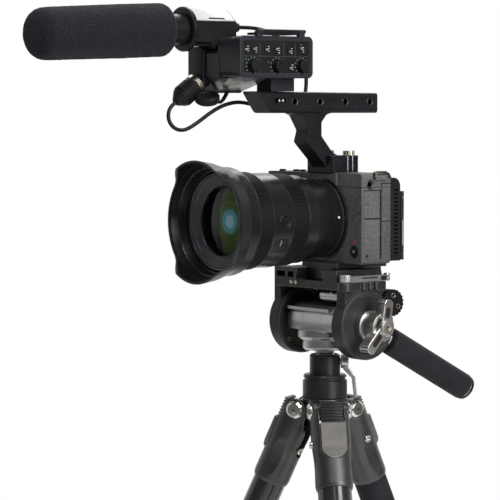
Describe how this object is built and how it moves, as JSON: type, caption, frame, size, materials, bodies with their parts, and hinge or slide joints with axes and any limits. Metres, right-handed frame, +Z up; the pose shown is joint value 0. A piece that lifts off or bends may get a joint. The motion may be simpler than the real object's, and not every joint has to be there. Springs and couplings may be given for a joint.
{
  "type": "film camera on tripod",
  "caption": "Compact cinema camera with wide zoom lens and hood, top handle, audio unit with foam-covered microphone, on a fluid head and folding carbon tripod.",
  "frame": {"origin": "on the floor, under the middle of the whole outline", "axes": "+Z up, -Y the way the lens looks, +X the camera operator's left hand side"},
  "size_m": [0.454, 0.5504, 0.859],
  "materials": {
    "body_grey": "satin",
    "vent_black": "matte",
    "door_grey": "matte",
    "screen_black": "satin",
    "button_bronze": "satin",
    "steel": "brushed",
    "board_green": "satin",
    "lens_black": "satin",
    "ring_rubber": "matte",
    "glass": "polished",
    "hood_black": "matte",
    "handle_black": "satin",
    "audio_black": "satin",
    "knob_black": "matte",
    "foam": "matte",
    "mic_black": "satin",
    "clamp_plastic": "satin",
    "cable_black": "satin",
    "carbon": "satin",
    "casting": "satin",
    "lock_rubber": "matte",
    "chrome": "polished",
    "cup_black": "satin",
    "silver": "satin",
    "head_grey": "satin",
    "drum_grey": "satin",
    "deck_black": "satin",
    "grip_rubber": "matte",
    "boot_black": "matte"
  },
  "bodies": {
    "tripod_base": {"spider": "casting", "leg_hinge_bolts": "chrome", "column_collar": "cup_black", "ball_cup": "cup_black"},
    "left_leg": {"left_leg_shoulder": "casting", "left_leg_tube": "carbon"},
    "left_tab": {"left_angle_tab": "casting"},
    "left_lock": {"left_twist_lock": "lock_rubber"},
    "left_lower": {"left_lower_leg": "carbon"},
    "right_leg": {"right_leg_shoulder": "casting", "right_leg_tube": "carbon"},
    "right_tab": {"right_angle_tab": "casting"},
    "right_lock": {"right_twist_lock": "lock_rubber"},
    "right_lower": {"right_lower_leg": "carbon"},
    "rear_leg": {"rear_leg_shoulder": "casting", "rear_leg_tube": "carbon"},
    "rear_tab": {"rear_angle_tab": "casting"},
    "rear_lock": {"rear_twist_lock": "lock_rubber"},
    "rear_lower": {"rear_lower_leg": "carbon"},
    "ball_lever": {"ball_lock_lever": "silver"},
    "ball": {"levelling_ball": "silver"},
    "pan_head": {"fluid_housing": "drum_grey"},
    "tilt_head": {"left_side_plate": "head_grey", "right_side_plate": "head_grey", "platform": "deck_black"},
    "drag_knob": {"tilt_knob": "silver"},
    "balance": {"balance_dial": "knob_black"},
    "pan_handle": {"pan_bar": "silver", "pan_grip": "grip_rubber"},
    "clamp": {"clamp_lever": "silver"},
    "camera": {"quick_plate": "deck_black", "camera_screw": "steel", "front_shell": "body_grey", "rear_shell": "vent_black", "lens_mount": "steel", "sensor_board": "board_green", "lens_barrel": "lens_black", "optics": "glass", "handle_frame": "handle_black", "handle_screws": "button_bronze", "audio_housing": "audio_black", "windscreen": "foam", "mic_barrel": "mic_black", "mic_clamp": "clamp_plastic", "xlr_plug": "boot_black", "mic_cable": "cable_black"},
    "screen": {"lcd_panel": "screen_black"},
    "port_flap": {"port_door": "door_grey"},
    "media_flap": {"media_door": "door_grey"},
    "rec": {"rec_button": "button_bronze"},
    "hold": {"hold_button": "lens_black"},
    "iris": {"iris_ring": "lens_black"},
    "zoom": {"zoom_ring": "ring_rubber"},
    "focus": {"focus_ring": "ring_rubber"},
    "hood": {"lens_hood": "hood_black"},
    "slide_switch": {"handle_switch": "knob_black"},
    "cover": {"audio_cover": "clamp_plastic"},
    "gain_1": {"gain_knob_1": "knob_black"},
    "gain_2": {"gain_knob_2": "knob_black"},
    "gain_3": {"gain_knob_3": "knob_black"}
  },
  "joints": [
    {"name": "left_leg_fold", "type": "hinge", "parent": "tripod_base", "child": "left_leg", "pos_m": [0.01905, 0.004, 0.50711], "axis": [-0.5, -0.866, 0], "range_deg": [-24.5, 0]},
    {"name": "left_tab_pull", "type": "slide", "parent": "left_leg", "child": "left_tab", "axis": [0.788, -0.455, 0.4147], "range_m": [0, 0.004]},
    {"name": "left_lock_twist", "type": "hinge", "parent": "left_leg", "child": "left_lock", "pos_m": [0.01905, 0.004, 0.50711], "axis": [0.3591, -0.2073, -0.91], "range_deg": [0, 90]},
    {"name": "left_leg_extend", "type": "slide", "parent": "left_leg", "child": "left_lower", "axis": [0.3591, -0.2073, -0.91], "range_m": [0, 0.28]},
    {"name": "right_leg_fold", "type": "hinge", "parent": "tripod_base", "child": "right_leg", "pos_m": [-0.01905, 0.004, 0.50711], "axis": [-0.5, 0.866, 0], "range_deg": [-24.5, 0]},
    {"name": "right_tab_pull", "type": "slide", "parent": "right_leg", "child": "right_tab", "axis": [-0.788, -0.455, 0.4147], "range_m": [0, 0.004]},
    {"name": "right_lock_twist", "type": "hinge", "parent": "right_leg", "child": "right_lock", "pos_m": [-0.01905, 0.004, 0.50711], "axis": [-0.3591, -0.2073, -0.91], "range_deg": [0, 90]},
    {"name": "right_leg_extend", "type": "slide", "parent": "right_leg", "child": "right_lower", "axis": [-0.3591, -0.2073, -0.91], "range_m": [0, 0.28]},
    {"name": "rear_leg_fold", "type": "hinge", "parent": "tripod_base", "child": "rear_leg", "pos_m": [0, 0.037, 0.50711], "axis": [1, 0, 0], "range_deg": [-24.5, 0]},
    {"name": "rear_tab_pull", "type": "slide", "parent": "rear_leg", "child": "rear_tab", "axis": [0, 0.91, 0.4147], "range_m": [0, 0.004]},
    {"name": "rear_lock_twist", "type": "hinge", "parent": "rear_leg", "child": "rear_lock", "pos_m": [0, 0.037, 0.50711], "axis": [0, 0.4147, -0.91], "range_deg": [0, 90]},
    {"name": "rear_leg_extend", "type": "slide", "parent": "rear_leg", "child": "rear_lower", "axis": [0, 0.4147, -0.91], "range_m": [0, 0.28]},
    {"name": "ball_lock", "type": "hinge", "parent": "tripod_base", "child": "ball_lever", "pos_m": [0, 0.015, 0.54911], "axis": [0.6129, 0.7902, 0], "range_deg": [-60, 60]},
    {"name": "level_tilt", "type": "hinge", "parent": "tripod_base", "child": "ball", "pos_m": [0, 0.015, 0.54911], "axis": [1, 0, 0], "range_deg": [-8, 8]},
    {"name": "pan", "type": "hinge", "parent": "ball", "child": "pan_head", "pos_m": [0, 0.015, 0.56851], "axis": [0, 0, 1], "continuous": true},
    {"name": "tilt", "type": "hinge", "parent": "pan_head", "child": "tilt_head", "pos_m": [0, 0.02, 0.58361], "axis": [1, 0, 0], "range_deg": [-20, 60]},
    {"name": "tilt_drag", "type": "hinge", "parent": "tilt_head", "child": "drag_knob", "pos_m": [0.052, 0.02, 0.58361], "axis": [1, 0, 0], "range_deg": [-120, 120]},
    {"name": "counterbalance", "type": "hinge", "parent": "tilt_head", "child": "balance", "pos_m": [0.0475, 0.0487, 0.60211], "axis": [1, 0, 0], "range_deg": [-120, 120]},
    {"name": "bar_angle", "type": "hinge", "parent": "tilt_head", "child": "pan_handle", "pos_m": [0.0334, 0.02, 0.58361], "axis": [1, 0, 0], "range_deg": [0, 30]},
    {"name": "plate_clamp", "type": "hinge", "parent": "tilt_head", "child": "clamp", "pos_m": [0.047, -0.0015, 0.62111], "axis": [0, 0, 1], "range_deg": [-90, 0]},
    {"name": "plate_slide", "type": "slide", "parent": "tilt_head", "child": "camera", "axis": [0, 1, 0], "range_m": [-0.015, 0.015]},
    {"name": "screen_swing", "type": "hinge", "parent": "camera", "child": "screen", "pos_m": [0.0505, 0.0588, 0.66906], "axis": [0, 0, 1], "range_deg": [-170, 0]},
    {"name": "port_door_swing", "type": "hinge", "parent": "camera", "child": "port_flap", "pos_m": [0.0532, 0.0304, 0.68796], "axis": [0, 0, 1], "range_deg": [0, 90]},
    {"name": "media_door_swing", "type": "hinge", "parent": "camera", "child": "media_flap", "pos_m": [0.0532, 0.0304, 0.65826], "axis": [0, 0, 1], "range_deg": [0, 90]},
    {"name": "rec_press", "type": "slide", "parent": "camera", "child": "rec", "axis": [0, 1, 0], "range_m": [0, 0.0008], "stiffness_N_per_m": 1500},
    {"name": "hold_press", "type": "slide", "parent": "camera", "child": "hold", "axis": [-1, 0, 0], "range_m": [0, 0.0006], "stiffness_N_per_m": 1500},
    {"name": "iris_turn", "type": "hinge", "parent": "camera", "child": "iris", "pos_m": [0, -0.02665, 0.67481], "axis": [0, 1, 0], "range_deg": [-40, 40]},
    {"name": "zoom_turn", "type": "hinge", "parent": "camera", "child": "zoom", "pos_m": [0, -0.04275, 0.67481], "axis": [0, 1, 0], "range_deg": [-45, 45]},
    {"name": "focus_turn", "type": "hinge", "parent": "camera", "child": "focus", "pos_m": [0, -0.08135, 0.67481], "axis": [0, 1, 0], "continuous": true},
    {"name": "hood_twist", "type": "hinge", "parent": "camera", "child": "hood", "pos_m": [0, -0.102, 0.67481], "axis": [0, 1, 0], "range_deg": [0, 60]},
    {"name": "switch_slide", "type": "slide", "parent": "camera", "child": "slide_switch", "axis": [0, 1, 0], "range_m": [-0.002, 0.002]},
    {"name": "cover_flip", "type": "hinge", "parent": "camera", "child": "cover", "pos_m": [0.0276, -0.05615, 0.83561], "axis": [0, 1, 0], "range_deg": [0, 265]},
    {"name": "gain_1_turn", "type": "hinge", "parent": "camera", "child": "gain_1", "pos_m": [0.026, -0.0844, 0.80631], "axis": [1, 0, 0], "range_deg": [-140, 140]},
    {"name": "gain_2_turn", "type": "hinge", "parent": "camera", "child": "gain_2", "pos_m": [0.026, -0.0582, 0.80631], "axis": [1, 0, 0], "range_deg": [-140, 140]},
    {"name": "gain_3_turn", "type": "hinge", "parent": "camera", "child": "gain_3", "pos_m": [0.026, -0.0318, 0.80631], "axis": [1, 0, 0], "range_deg": [-140, 140]}
  ]
}
